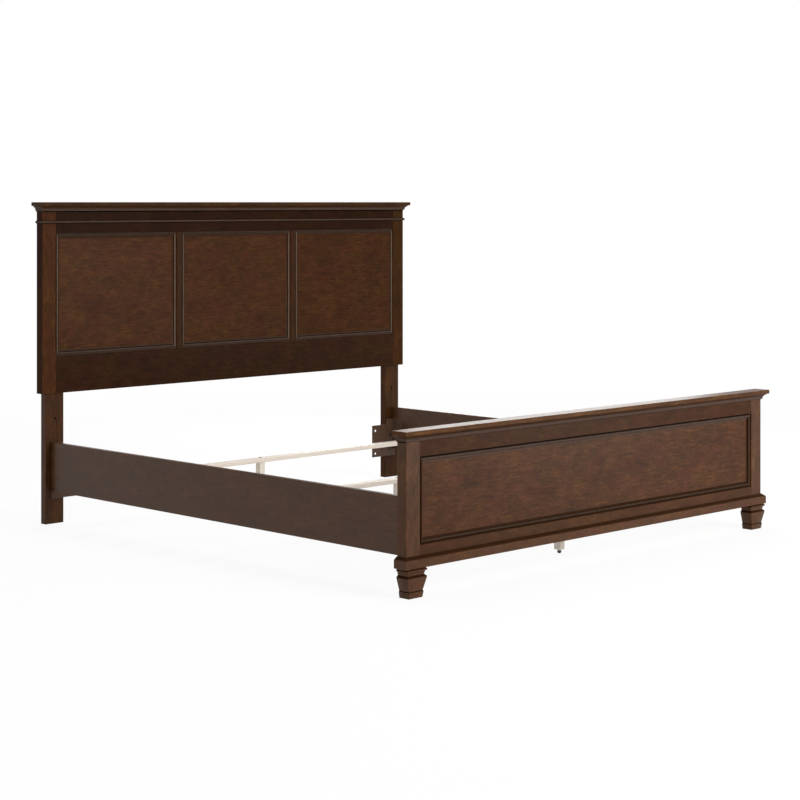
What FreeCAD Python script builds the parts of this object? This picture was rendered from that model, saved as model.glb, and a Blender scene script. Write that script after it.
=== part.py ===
import FreeCAD, Part
import math
import os
from types import SimpleNamespace

import Sketcher
from FreeCAD import Placement, Rotation, Vector

# King-size panel bed: a framed headboard with three panels on two legs, a low framed footboard
# on two tapered feet, two side rails hung on steel angles, and three steel cross slats, each
# with a centre leg and a screw glide.
#
# Millimetres. +X is to the right seen from the foot of the bed, +Y towards the headboard, +Z up.
# The origin is on the floor under the middle of the whole bed.

driving = {
    # whole bed
    "bedWidth": 2034.0,        # over the footboard posts, and over the headboard legs
    "headWidth": 2078.0,       # over the headboard stiles
    "headHeight": 1326.0,
    "footHeight": 562.0,
    "clearLength": 2059.0,     # footboard post to headboard leg plate, the length of a side rail
    "frameDepth": 43.0,        # headboard and footboard, front to back
    # framed panels
    "frameThick": 22.0,        # rails and mullions
    "stileWidth": 65.5,
    "returnThick": 20.0,       # side return of a headboard stile
    "mullionWidth": 27.0,
    "panelSetback": 10.0,      # frame face to panel face
    "panelThick": 6.0,
    "grooveDeep": 8.0,
    "panelGap": 1.0,           # room for the panel to swell in its groove
    "headSkirt": 538.0,        # lower edge of the headboard
    "headPanelBottom": 691.0,
    "headPanelTop": 1197.0,
    "footPanelBottom": 174.0,
    "footPanelTop": 471.0,
    # cap, crown cove, bead and base moulding
    "capOver": 25.0,
    "capThick": 16.0,
    "capRound": 3.0,
    "coveTall": 25.0,
    "coveProud": 16.0,
    "coveFoot": 5.0,
    "coveFillet": 4.0,
    "coveRadius": 20.2,
    "coveBrow": 3.0,
    "beadRadius": 6.0,
    "beadCentre": 1244.0,
    "baseBottom": 100.0,
    "baseTop": 140.0,
    "baseProud": 15.0,
    "baseSlope": 10.0,
    # moulding round each panel
    "mouldWidth": 23.0,
    "mouldFloor": 2.0,
    "mouldQuirk": 6.0,
    "mouldBead": 5.0,
    "mouldStep": 18.0,
    "mouldLip": 0.6,
    # headboard legs
    "legWidth": 89.0,
    "legThick": 33.0,
    "legTongue": 21.0,
    "legTop": 1262.0,
    "legBoltX": 950.0,
    "legBoltLow": 580.0,
    "legBoltMid": 650.0,
    "legBoltTop": 1230.0,
    "spareHoleX": 969.0,
    "spareHoleHigh": 433.0,
    "counterBore": 11.0,
    "counterDeep": 9.0,
    "battenTall": 60.0,
    "battenGap": 5.0,
    # footboard feet and corner blocks
    "footInset": 39.5,         # outer face of the post to the middle of the foot
    "footBehind": 3.5,         # back of the frame to the flat back of the foot
    "footHalf": 47.0,          # middle of the foot to its shoulder
    "footDeep": 54.0,          # back of the foot to its shoulder
    "footTaperSide": 13.5,
    "footTaperFront": 7.5,
    "blockWidth": 80.0,
    "blockTop": 330.0,
    # side rails and ledgers
    "railTop": 337.0,
    "railBottom": 136.0,
    "railThick": 22.0,
    "railInset": 24.0,
    "ledgerThick": 20.0,
    "ledgerTall": 36.0,
    "ledgerGap": 6.0,
    "edgeEase": 1.5,
    # steel brackets
    "plateThick": 4.0,
    "plateInner": 840.0,
    "plateOuter": 990.0,
    "plateLow": 104.0,
    "plateHigh": 256.0,
    "freeHoleX": 860.0,
    "freeHoleLow": 121.0,
    "freeHoleHigh": 230.0,
    "freeHoleRadius": 6.0,
    "spareX": 902.0,
    "spareRadius": 4.5,
    "bracketThick": 3.0,
    "bracketRail": 66.0,
    "bracketWide": 41.0,
    "bracketLow": 146.0,
    "bracketHigh": 281.0,
    "bendRadius": 2.0,
    "bracketScrewNear": 24.0,  # bracket's corner to its two rows of screws
    "bracketScrewFar": 52.0,
    "bracketScrewEdge": 22.0,
    "boltX": 956.0,
    "boltLow": 138.0,
    "boltMid": 165.0,
    "boltHigh": 205.0,
    "footBoltX": 940.0,
    "footBoltHigh": 250.0,
    # cross slats, centre legs and glides
    "slatWide": 40.0,
    "slatTall": 20.0,
    "slatTop": 197.0,
    "slatWall": 1.5,
    "slatRound": 6.0,
    "slatSetback": 160.5,
    "slatGap": 2.0,
    "tubeSide": 30.0,
    "tubeRound": 3.5,
    "tubeBottom": 15.0,
    "tubePlate": 3.0,
    "tubePlug": 8.0,
    "glideRadius": 8.0,
    "glideTall": 10.5,
    "glideSlope": 3.5,
    "collarRadius": 6.5,
    "collarTall": 2.5,
    "stemRadius": 4.0,
    "stemTop": 50.0,
    "runningGap": 0.05,
    # fasteners
    "boltRadius": 4.0,
    "boltHole": 4.2,
    "hexCorner": 7.5,          # middle to corner of a hexagon head or nut
    "headTall": 5.0,
    "nutTall": 6.5,
    "legGrip": 15.0,           # headboard bolt in the frame rail
    "slatBoltHead": 9.0,
    "slatBoltHeadTall": 3.0,
    "slatBoltLong": 32.0,
    "studLong": 78.0,
    "screwRadius": 2.4,
    "screwHole": 2.6,
    "screwHead": 5.0,
    "screwHeadTall": 2.8,
    "railGrip": 17.0,          # wood screw in a side rail
    "ledgerGrip": 28.0,        # slat screw in a ledger
    "tipRoom": 1.0,
    "bitOver": 10.0,           # a bit starts this far outside the face it enters
    "bitLong": 60.0,
}


class Size:
    """A number that keeps the formula it came from, so that a property can be bound to it."""

    def __init__(self, value, text):
        self.value = value
        self.text = text

    def __add__(self, other):
        other = sized(other)
        return Size(self.value + other.value, f"({self.text} + {other.text})")

    def __sub__(self, other):
        other = sized(other)
        return Size(self.value - other.value, f"({self.text} - {other.text})")

    def __mul__(self, factor):
        return Size(self.value * factor, f"({self.text} * {factor})")

    def __neg__(self):
        return self * -1

    def __rsub__(self, other):
        return sized(other) - self


def sized(number):
    return number if isinstance(number, Size) else Size(float(number), f"{number}")


doc = FreeCAD.newDocument("PanelBed")
sheet = doc.addObject("Spreadsheet::Sheet", "sizes")
for row, (alias, value) in enumerate(driving.items(), start=1):
    sheet.set(f"A{row}", alias)
    sheet.set(f"B{row}", f"{value}")
    sheet.setAlias(f"B{row}", alias)
doc.recompute()
d = SimpleNamespace(**{alias: Size(value, f"sizes.{alias}") for alias, value in driving.items()})

left, right = -1, 1
nodes = []
aligned = 0.9                    # an edge runs along an axis when its direction shares this much
holeSides = 6                    # shanks and the holes they fill: nothing of them shows
headSides = 8
glideSides = 16
roomy = 1 / math.cos(math.pi / holeSides)        # corner radius of a hole over its flat radius

# ---------------------------------------------------------------- places worked out from the sizes

overall = d.capOver + d.frameDepth * 2 + d.clearLength + d.plateThick + d.legThick - d.frameDepth
yFront = overall * -0.5 + d.capOver              # footboard frame face
yFootBack = yFront + d.frameDepth
yPlate = yFootBack + d.clearLength               # face of the leg plates, where the rails end
yLeg = yPlate + d.plateThick
yHeadBack = yLeg + d.legThick
yHead = yHeadBack - d.frameDepth                 # headboard frame face
yRailMiddle = yFootBack + d.clearLength * 0.5
headHalf = d.headWidth * 0.5
bedHalf = d.bedWidth * 0.5
railOuter = bedHalf - d.railInset
railInner = railOuter - d.railThick
headFrameTop = d.headHeight - d.capThick
footFrameTop = d.footHeight - d.capThick
slatPlaces = {
    "head": yPlate - d.slatSetback,
    "middle": yRailMiddle,
    "foot": yFootBack + d.slatSetback,
}
slatBottom = d.slatTop - d.slatTall

# ---------------------------------------------------------------- tools


def bind(thing, **sizes):
    for name, size in sizes.items():
        thing.setExpression(name.replace("__", "."), sized(size).text)


def place(thing, x, y, z, turn=None):
    if turn is not None:
        thing.Placement = Placement(Vector(0, 0, 0), turn)
    bind(thing, Placement__Base__x=x, Placement__Base__y=y, Placement__Base__z=z)
    return thing


def node(thing, label):
    """Marks a finished piece for export under the name it has on the bench."""
    thing.Label = label
    nodes.append(thing)
    return thing


def board(label, low, high):
    """A plain rectangular board between two corners."""
    box = doc.addObject("Part::Box", label)
    bind(box, Length=high[0] - low[0], Width=high[1] - low[1], Height=high[2] - low[2])
    return node(place(box, *low), label)


def sketch_on(body, role):
    sketch = body.newObject("Sketcher::SketchObject", f"{body.Name}_{role}")
    plane = next(item for item in body.Origin.OriginFeatures if item.Role == role)
    sketch.AttachmentSupport = [(plane, "")]
    sketch.MapMode = "FlatFace"
    return sketch


def arc_centre(start, end, radius, turn):
    """Centre of the short arc from start to end; turn is 1 anticlockwise, -1 clockwise."""
    chord = end - start
    reach = math.sqrt(max(radius ** 2 - (chord.Length / 2) ** 2, 0))
    normal = Vector(-chord.y, chord.x, 0).normalize() * turn
    return (start + end) / 2 + normal * reach


def pin_point(sketch, index, point, x, y):
    """Fixes a point of the sketch at a place bound to the sheet."""
    for kind, size in (("DistanceX", x), ("DistanceY", y)):
        number = sketch.addConstraint(
            Sketcher.Constraint(kind, -1, 1, index, point, sized(size).value))
        sketch.setExpression(f"Constraints[{number}]", sized(size).text)


def pin_radius(sketch, index, radius):
    number = sketch.addConstraint(Sketcher.Constraint("Radius", index, sized(radius).value))
    sketch.setExpression(f"Constraints[{number}]", sized(radius).text)


def outline(sketch, corners):
    """A closed outline. A corner is (x, y), or (x, y, radius, turn) where an arc reaches it."""
    first = sketch.GeometryCount
    ends = []
    for number, corner in enumerate(corners):
        before = corners[number - 1]
        start = Vector(sized(before[0]).value, sized(before[1]).value, 0)
        end = Vector(sized(corner[0]).value, sized(corner[1]).value, 0)
        if len(corner) == 2:
            sketch.addGeometry(Part.LineSegment(start, end))
            ends.append((1, 2))
            continue
        centre = arc_centre(start, end, sized(corner[2]).value, corner[3])
        low, high = (start, end) if corner[3] > 0 else (end, start)
        angles = [math.atan2(p.y - centre.y, p.x - centre.x) for p in (low, high)]
        circle = Part.Circle(centre, Vector(0, 0, 1), sized(corner[2]).value)
        sketch.addGeometry(Part.ArcOfCircle(circle, *angles))
        ends.append((1, 2) if corner[3] > 0 else (2, 1))
    for number, corner in enumerate(corners):
        after = (number + 1) % len(corners)
        sketch.addConstraint(Sketcher.Constraint(
            "Coincident", first + number, ends[number][1], first + after, ends[after][0]))
        pin_point(sketch, first + number, ends[number][1], corner[0], corner[1])
        if len(corner) == 4:
            pin_radius(sketch, first + number, corner[2])


def circles(sketch, centres, radius):
    for x, y in centres:
        place_now = Vector(sized(x).value, sized(y).value, 0)
        number = sketch.addGeometry(
            Part.Circle(place_now, Vector(0, 0, 1), sized(radius).value))
        pin_point(sketch, number, 3, x, y)
        pin_radius(sketch, number, radius)


def rectangle(low, high):
    return [(low[0], low[1]), (high[0], low[1]), (high[0], high[1]), (low[0], high[1])]


def ring(sides, radius):
    """The outline of a round piece as that many straight sides."""
    turns = [2 * math.pi * (side + 0.5) / sides for side in range(sides)]
    return [(radius * math.cos(turn), radius * math.sin(turn)) for turn in turns]


def pad(body, role, corners, length):
    """Adds a prism of the outline, half of it on each side of the body's own plane."""
    sketch = sketch_on(body, role)
    outline(sketch, corners)
    feature = body.newObject("PartDesign::Pad", f"{body.Name}_pad")
    feature.Profile = sketch
    feature.SideType = "Symmetric"
    bind(feature, Length=length)
    return body


def pocket(body, role, draw):
    """Cuts what draw() puts in a sketch right through the body."""
    sketch = sketch_on(body, role)
    draw(sketch)
    feature = body.newObject("PartDesign::Pocket", f"{body.Name}_pocket")
    feature.Profile = sketch
    feature.SideType = "Symmetric"
    feature.Type = "ThroughAll"
    return body


def drill(body, role, centres, radius):
    return pocket(body, role, lambda sketch: circles(sketch, centres, radius))


def prism(label, role, corners, length, at=(0, 0, 0)):
    body = doc.addObject("PartDesign::Body", label)
    pad(body, role, corners, length)
    return node(place(body, *at), label)


def ease(body, kind, size, choose):
    """Rounds (Fillet) or bevels (Chamfer) the edges that choose() picks by middle and direction."""
    doc.recompute()
    tip = body.Tip
    names = []
    for number, edge in enumerate(tip.Shape.Edges, start=1):
        if edge.Curve.TypeId != "Part::GeomLine":
            continue
        middle = edge.CenterOfMass
        if choose(middle, edge.Curve.Direction):
            names.append(f"Edge{number}")
    feature = body.newObject(f"PartDesign::{kind}", f"{body.Name}_ease")
    feature.Base = (tip, names)
    bind(feature, **{"Radius" if kind == "Fillet" else "Size": size})
    return body


def rod(name, sides, radius, top, bottom):
    bar = doc.addObject("Part::Prism", name)
    bar.Polygon = sides
    bind(bar, Circumradius=radius, Height=top - sized(bottom))
    return place(bar, 0, 0, bottom)


def fused(name, pieces):
    whole = doc.addObject("Part::MultiFuse", name)
    whole.Shapes = pieces
    return whole


def group(label, pieces):
    compound = doc.addObject("Part::Compound", label)
    compound.Links = pieces
    return node(compound, label)


def linked(name, master, spots):
    """A copy of the master at each spot and turn, as links to it."""
    links = []
    for number, (x, y, z, turn) in enumerate(spots, start=1):
        link = doc.addObject("App::Link", f"{name}_{number}")
        link.LinkedObject = master
        link.LinkTransform = True
        links.append(place(link, x, y, z, turn))
    return links


def copies(label, master, spots):
    """One node of identical fasteners."""
    return group(label, linked(label, master, spots))


upright = Rotation()
upside_down = Rotation(Vector(1, 0, 0), 180)
faces_foot = Rotation(Vector(1, 0, 0), 90)
faces_head = Rotation(Vector(1, 0, 0), -90)
faces_side = {left: Rotation(Vector(0, 1, 0), -90), right: Rotation(Vector(0, 1, 0), 90)}
side_names = {left: "left", right: "right"}

# ---------------------------------------------------------------- mouldings
# A strip of moulding runs along its own X, stands out along its own Y and is cut at its ends:
# "outside" is a mitre round a corner that stands out, "inside" one round an opening.


def end_cut(sketch, run, reach, kind, end):
    over = 1                                      # the cut starts and ends this far off the strip
    tip = run * 0.5 * end
    past = (reach + over) * end
    if kind == "outside":
        corners = [(tip - over * end, -over), (tip + past, reach + over), (tip + past, -over)]
    else:
        corners = [(tip + over * end, -over), (tip - past, reach + over),
                   (tip + over * end, reach + over)]
    outline(sketch, corners)


def strip(name, profile, run, reach, cuts, at, turn):
    body = doc.addObject("PartDesign::Body", name)
    sketch = sketch_on(body, "YZ_Plane")
    outline(sketch, profile)
    feature = body.newObject("PartDesign::Pad", f"{name}_pad")
    feature.Profile = sketch
    feature.SideType = "Two sides"
    spare = {"outside": reach, "inside": 0, "square": 0}
    bind(feature, Length=run * 0.5 + spare[cuts[1]], Length2=run * 0.5 + spare[cuts[0]])
    for kind, end in zip(cuts, (-1, 1)):
        if kind != "square":
            pocket(body, "XY_Plane", lambda cut: end_cut(cut, run, reach, kind, end))
    return place(body, *at, turn)


def wrap_moulding(label, profile, reach, half, yFace, yBack, z):
    """A front strip and two side returns, mitred at the outside corners and square behind."""
    depth = yBack - yFace
    yMiddle = (yBack + yFace) * 0.5
    upward = Vector(0, 0, 1)
    pieces = [
        strip(f"{label}_front", profile, half * 2, reach, ("outside", "outside"),
              (0, yFace, z), Rotation(upward, 180)),
        strip(f"{label}_left", profile, depth, reach, ("outside", "square"),
              (-half, yMiddle, z), Rotation(upward, 90)),
        strip(f"{label}_right", profile, depth, reach, ("square", "outside"),
              (half, yMiddle, z), Rotation(upward, -90)),
    ]
    return group(label, pieces)


# Cove under a cap: a hollow that sweeps from a small fillet at the wall out to the cap.
cove_profile = [
    (0, -d.coveTall),
    (d.coveFoot, -d.coveTall),
    (d.coveFoot, d.coveFillet - d.coveTall),
    (d.coveProud, -d.coveBrow, d.coveRadius, -1),
    (d.coveProud, 0),
    (0, 0),
]
# Half-round bead on the headboard.
bead_profile = [
    (0, -d.beadRadius),
    (d.beadRadius, 0, d.beadRadius, 1),
    (0, d.beadRadius, d.beadRadius, 1),
]
# Base of the footboard: a flat board with a sloped upper edge.
base_profile = [
    (0, d.baseBottom),
    (d.baseProud, d.baseBottom),
    (d.baseProud, d.baseTop - d.baseSlope),
    (0, d.baseTop),
]
# Moulding in a panel opening: a sunk quirk, a round bead and a slope down to the panel.
bead_start = d.mouldQuirk
bead_crown = d.mouldQuirk + d.mouldBead
bead_end = d.mouldQuirk + d.mouldBead * 2
panel_profile = [
    (0, 0),
    (d.mouldWidth, 0),
    (d.mouldWidth, d.mouldLip),
    (d.mouldStep, d.mouldFloor),
    (bead_end, d.mouldFloor),
    (bead_crown, d.mouldFloor + d.mouldBead, d.mouldBead, 1),
    (bead_start, d.mouldFloor, d.mouldBead, 1),
    (0, d.mouldFloor),
]


def panel_moulding(label, xLow, xHigh, yFace, zLow, zHigh):
    """Four strips mitred into the opening, their backs on the panel's face."""
    xMiddle = (xLow + xHigh) * 0.5
    zMiddle = (zLow + zHigh) * 0.5
    y = yFace + d.panelSetback
    sides = [
        ("bottom", xHigh - xLow, (xMiddle, y, zLow)),
        ("left", zHigh - zLow, (xLow, y, zMiddle)),
        ("top", xHigh - xLow, (xMiddle, y, zHigh)),
        ("right", zHigh - zLow, (xHigh, y, zMiddle)),
    ]
    pieces = []
    for number, (name, run, at) in enumerate(sides):
        turn = Rotation(Vector(0, 1, 0), 90 * number).multiply(faces_foot)
        pieces.append(strip(f"{label}_{name}", panel_profile, run, d.mouldWidth,
                            ("inside", "inside"), at, turn))
    return group(label, pieces)


# ---------------------------------------------------------------- framed panels
# Stiles and posts stand full height. Rails and mullions have a tongue at each end that fits the
# groove of the piece they meet, and the same groove holds the panels.


def tongue_depth(yFace):
    return yFace + d.panelSetback, yFace + d.panelSetback + d.panelThick


def frame_rail(label, half, yFace, zOuter, zInner, inward):
    """A rail grooved on its inner edge, with a full-height tongue at each end."""
    yGroove, yTongue = tongue_depth(yFace)
    zFloor = zInner - d.grooveDeep * inward
    yBack = yFace + d.frameThick
    rail = prism(label, "YZ_Plane", [
        (yFace, zOuter), (yFace, zInner), (yGroove, zInner), (yGroove, zFloor),
        (yTongue, zFloor), (yTongue, zInner), (yBack, zInner), (yBack, zOuter),
    ], half * 2)
    return pad(rail, "YZ_Plane", rectangle((yGroove, zOuter), (yTongue, zFloor)),
               half * 2 + d.grooveDeep * 2)


def mullion(label, x, yFace, zLow, zHigh):
    """An upright between two panels, grooved on both edges and tongued at both ends."""
    yGroove, yTongue = tongue_depth(yFace)
    corners = []
    for side, (yFirst, yLast) in ((right, (yGroove, yTongue)), (left, (yTongue, yGroove))):
        edge = x + d.mullionWidth * 0.5 * side
        floor = edge - d.grooveDeep * side
        yStart, yEnd = (yFace, yFace + d.frameThick) if side == right else \
            (yFace + d.frameThick, yFace)
        corners += [(edge, yStart), (edge, yFirst), (floor, yFirst), (floor, yLast),
                    (edge, yLast), (edge, yEnd)]
    upright_piece = prism(label, "XY_Plane", corners, zHigh - zLow,
                          (0, 0, (zLow + zHigh) * 0.5))
    web = d.mullionWidth * 0.5 - d.grooveDeep
    return pad(upright_piece, "XY_Plane", rectangle((x - web, yGroove), (x + web, yTongue)),
               zHigh - zLow + d.grooveDeep * 2)


def panel(label, xLow, xHigh, yFace, zLow, zHigh):
    yGroove, yTongue = tongue_depth(yFace)
    hidden = d.grooveDeep - d.panelGap
    return board(label, (xLow - hidden, yGroove, zLow - hidden),
                 (xHigh + hidden, yTongue, zHigh + hidden))


def outer_upright(half):
    """Picks the upright edges at the outer faces of a piece that reaches to half."""
    face = half.value - 0.1
    return lambda middle, direction: abs(direction.z) > aligned and abs(middle.x) > face


def cap_board(label, half, yFace, yBack, zTop):
    """The flat cap, rounded along its front and its two ends, flush behind."""
    low = (-half - d.capOver, yFace - d.capOver)
    high = (half + d.capOver, yBack)
    cap = prism(label, "XY_Plane", rectangle(low, high), d.capThick,
                (0, 0, zTop - d.capThick * 0.5))
    behind = yBack.value - 1
    return ease(cap, "Fillet", d.capRound,
                lambda middle, direction: abs(direction.z) < aligned and middle.y < behind)


# ---------------------------------------------------------------- headboard

openingHalf = headHalf - d.stileWidth

for side in (left, right):
    outer = headHalf * side
    inner = openingHalf * side
    yGroove, yTongue = tongue_depth(yHead)
    behind = outer - d.returnThick * side
    stile = prism(f"headboard_stile_{side_names[side]}", "XY_Plane", [
        (outer, yHead), (inner, yHead), (inner, yGroove), (inner + d.grooveDeep * side, yGroove),
        (inner + d.grooveDeep * side, yTongue), (inner, yTongue), (inner, yHead + d.frameThick),
        (behind, yHead + d.frameThick), (behind, yHeadBack), (outer, yHeadBack),
    ], headFrameTop - d.headSkirt, (0, 0, (headFrameTop + d.headSkirt) * 0.5))
    ease(stile, "Chamfer", d.edgeEase, outer_upright(headHalf))

frame_rail("headboard_top_rail", openingHalf, yHead, headFrameTop, d.headPanelTop, -1)
frame_rail("headboard_bottom_rail", openingHalf, yHead, d.headSkirt, d.headPanelBottom, 1)

panelWide = (openingHalf * 2 - d.mullionWidth * 2) * (1 / 3)
mullionX = panelWide * 0.5 + d.mullionWidth * 0.5
for side in (left, right):
    mullion(f"headboard_mullion_{side_names[side]}", mullionX * side, yHead,
            d.headPanelBottom, d.headPanelTop)

pitch = panelWide + d.mullionWidth
for name, step in (("left", -1), ("middle", 0), ("right", 1)):
    spot = (pitch * step - panelWide * 0.5, pitch * step + panelWide * 0.5, yHead,
            d.headPanelBottom, d.headPanelTop)
    panel(f"headboard_panel_{name}", *spot)
    panel_moulding(f"headboard_panel_moulding_{name}", *spot)

cap_board("headboard_cap", headHalf, yHead, yHeadBack, d.headHeight)
wrap_moulding("headboard_cove_moulding", cove_profile, d.coveProud, headHalf,
              yHead, yHeadBack, headFrameTop)
wrap_moulding("headboard_bead_moulding", bead_profile, d.beadRadius, headHalf,
              yHead, yHeadBack, d.beadCentre)

# Each leg is rebated where it lies behind the frame, so that the frame stands on its shoulder.
legInner = bedHalf - d.legWidth
for side in (left, right):
    leg = prism(f"headboard_leg_{side_names[side]}", "YZ_Plane", [
        (0, 0), (-d.legThick, 0), (-d.legThick, d.headSkirt), (-d.legTongue, d.headSkirt),
        (-d.legTongue, d.legTop), (0, d.legTop),
    ], d.legWidth, ((bedHalf - d.legWidth * 0.5) * side, yHeadBack, 0))
    ease(leg, "Chamfer", d.edgeEase, lambda middle, direction:
         abs(direction.z) > aligned and middle.y < -d.legTongue.value - 1)
    toMiddle = d.legWidth * 0.5 - bedHalf
    drill(leg, "XZ_Plane", [((d.spareHoleX + toMiddle) * side, d.spareHoleHigh)], d.boltHole)

battenHalf = legInner - d.battenGap
board("headboard_top_batten", (-battenHalf, yHead + d.frameThick, headFrameTop - d.battenTall),
      (battenHalf, yHeadBack, headFrameTop))

# ---------------------------------------------------------------- footboard

postInner = bedHalf - d.stileWidth
for side in (left, right):
    outer = bedHalf * side
    inner = postInner * side
    yGroove, yTongue = tongue_depth(yFront)
    post = prism(f"footboard_post_{side_names[side]}", "XY_Plane", [
        (outer, yFront), (inner, yFront), (inner, yGroove), (inner + d.grooveDeep * side, yGroove),
        (inner + d.grooveDeep * side, yTongue), (inner, yTongue), (inner, yFootBack),
        (outer, yFootBack),
    ], footFrameTop - d.baseBottom, (0, 0, (footFrameTop + d.baseBottom) * 0.5))
    ease(post, "Chamfer", d.edgeEase, outer_upright(bedHalf))

frame_rail("footboard_top_rail", postInner, yFront, footFrameTop, d.footPanelTop, -1)
frame_rail("footboard_bottom_rail", postInner, yFront, d.baseBottom, d.footPanelBottom, 1)
footOpening = (-postInner, postInner, yFront, d.footPanelBottom, d.footPanelTop)
panel("footboard_panel", *footOpening)
panel_moulding("footboard_panel_moulding", *footOpening)
cap_board("footboard_cap", bedHalf, yFront, yFootBack, d.footHeight)
wrap_moulding("footboard_cove_moulding", cove_profile, d.coveProud, bedHalf,
              yFront, yFootBack, footFrameTop)
wrap_moulding("footboard_base_moulding", base_profile, d.baseProud, bedHalf,
              yFront, yFootBack, 0)

# Each foot is shaped on its front and its two sides and flat behind: what a prism seen from the
# front and one seen from the side have in common.


def foot_steps(shoulder, taper):
    """One shaped side as (reach, height): collar, taper, shoulder, hollow neck and upper pad."""
    ankle = shoulder - taper
    return [
        (ankle - 1, 0), (ankle + 2, 18), (ankle + 2, 21), (ankle, 24),
        (shoulder, 69), (shoulder - 1, 72), (shoulder - 7, 77), (shoulder - 7, 80),
        (shoulder - 5.5, 83), (shoulder + 0.5, 91, 7, -1), (shoulder + 0.5, 94),
        (shoulder - 1, 97), (shoulder - 4, d.baseBottom),
    ]


def both_sides(half):
    """Up one side and down the other; an arc is listed with the corner that it reaches."""
    down = [(-sized(corner[0]), corner[1]) for corner in reversed(half)]
    arc = next(number for number, corner in enumerate(half) if len(corner) == 4)
    reached = len(half) - arc
    down[reached] = (*down[reached], *half[arc][2:])
    return half + down


for side in (left, right):
    name = f"footboard_foot_{side_names[side]}"
    seen_front = doc.addObject("PartDesign::Body", f"{name}_front")
    pad(seen_front, "XZ_Plane", both_sides(foot_steps(d.footHalf, d.footTaperSide)),
        d.footDeep * 2 + 2)
    seen_side = doc.addObject("PartDesign::Body", f"{name}_side")
    pad(seen_side, "YZ_Plane",
        foot_steps(d.footDeep, d.footTaperFront) + [(0, d.baseBottom), (0, 0)],
        d.footHalf * 2 + 2)
    seen_side.Placement = Placement(Vector(0, 0, 0), Rotation(Vector(0, 0, 1), 180))
    common = doc.addObject("Part::MultiCommon", name)
    common.Shapes = [seen_front, seen_side]
    node(place(common, (bedHalf - d.footInset) * side, yFootBack - d.footBehind, 0), name)

# Corner blocks carry the rail brackets and widen the seat of the feet.
for side in (left, right):
    blockInner = (postInner - d.blockWidth) * side
    yBlock = yFront + d.frameThick
    prism(f"footboard_corner_block_{side_names[side]}", "XY_Plane",
          rectangle((blockInner, yBlock), (postInner * side, yFootBack)),
          d.blockTop - d.baseBottom, (0, 0, (d.blockTop + d.baseBottom) * 0.5))

# ---------------------------------------------------------------- side rails and ledgers

ledgerFree = d.bracketRail + d.ledgerGap          # clear of the brackets at both ends
ledgerLong = d.clearLength - ledgerFree * 2
zLedger = slatBottom - d.ledgerTall * 0.5

for side in (left, right):
    rail = prism(f"side_rail_{side_names[side]}", "XZ_Plane",
                 rectangle((railInner * side, d.railBottom), (railOuter * side, d.railTop)),
                 d.clearLength, (0, yRailMiddle, 0))
    ease(rail, "Chamfer", d.edgeEase, lambda middle, direction: abs(direction.y) > aligned)
    ledgerInner = railInner - d.ledgerThick
    prism(f"rail_ledger_{side_names[side]}", "XY_Plane",
          rectangle((ledgerInner * side, ledgerLong * -0.5), (railInner * side, ledgerLong * 0.5)),
          d.ledgerTall, (0, yRailMiddle, zLedger))

# ---------------------------------------------------------------- steel brackets

for side in (left, right):
    xMiddle = (d.plateInner + d.plateOuter) * 0.5
    plate = prism(f"leg_plate_{side_names[side]}", "XZ_Plane",
                  rectangle((d.plateInner * side, d.plateLow), (d.plateOuter * side, d.plateHigh)),
                  d.plateThick, (0, yPlate + d.plateThick * 0.5, 0))
    drill(plate, "XZ_Plane", [(d.freeHoleX * side, z) for z in (d.freeHoleLow, d.freeHoleHigh)],
          d.freeHoleRadius)
    drill(plate, "XZ_Plane", [(d.spareX * side, z) for z in (d.boltLow, d.boltHigh)],
          d.spareRadius)


def angle_bracket(label, side, yEnd, along):
    """A bent steel angle in the corner between a rail and what it meets at yEnd."""
    corner = railInner * side
    thick = d.bracketThick
    bend = d.bendRadius + thick
    turn = side * along
    return prism(label, "XY_Plane", [
        (corner, yEnd - d.bracketRail * along),
        (corner, yEnd - bend * along),
        (corner - bend * side, yEnd, bend, turn),
        (corner - d.bracketWide * side, yEnd),
        (corner - d.bracketWide * side, yEnd - thick * along),
        (corner - bend * side, yEnd - thick * along),
        (corner - thick * side, yEnd - bend * along, d.bendRadius, -turn),
        (corner - thick * side, yEnd - d.bracketRail * along),
    ], d.bracketHigh - d.bracketLow, (0, 0, (d.bracketHigh + d.bracketLow) * 0.5))


for side in (left, right):
    angle_bracket(f"head_bracket_{side_names[side]}", side, yPlate, 1)
    angle_bracket(f"foot_bracket_{side_names[side]}", side, yFootBack, -1)

# ---------------------------------------------------------------- slats, centre legs and glides


def rounded_square(half_x, half_y, radius):
    """Outline of a tube wall with rounded corners, anticlockwise."""
    x, y = half_x, half_y
    return [
        (x - radius, -y), (x, radius - y, radius, 1),
        (x, y - radius), (x - radius, y, radius, 1),
        (radius - x, y), (-x, y - radius, radius, 1),
        (-x, radius - y), (radius - x, -y, radius, 1),
    ]


def cut_square(half_x, half_y, radius):
    """The same outline straight across its corners, as the unseen inside of a tube."""
    return [corner[:2] for corner in rounded_square(half_x, half_y, radius)]


def tube(body, role, half_x, half_y, radius, length):
    """A tube along the plane's normal: outer wall less inner wall."""
    sketch = sketch_on(body, role)
    outline(sketch, rounded_square(half_x, half_y, radius))
    wall = d.slatWall
    outline(sketch, cut_square(half_x - wall, half_y - wall, radius - wall))
    feature = body.newObject("PartDesign::Pad", f"{body.Name}_pad")
    feature.Profile = sketch
    feature.SideType = "Symmetric"
    bind(feature, Length=length)
    return body


slatHalf = railInner - d.slatGap
screwX = railInner - d.ledgerThick * 0.5
tubeTall = slatBottom - d.tubeBottom
tubeMiddle = (slatBottom + d.tubeBottom) * 0.5
sleeve = d.tubeSide * 0.5 - d.slatWall

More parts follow.
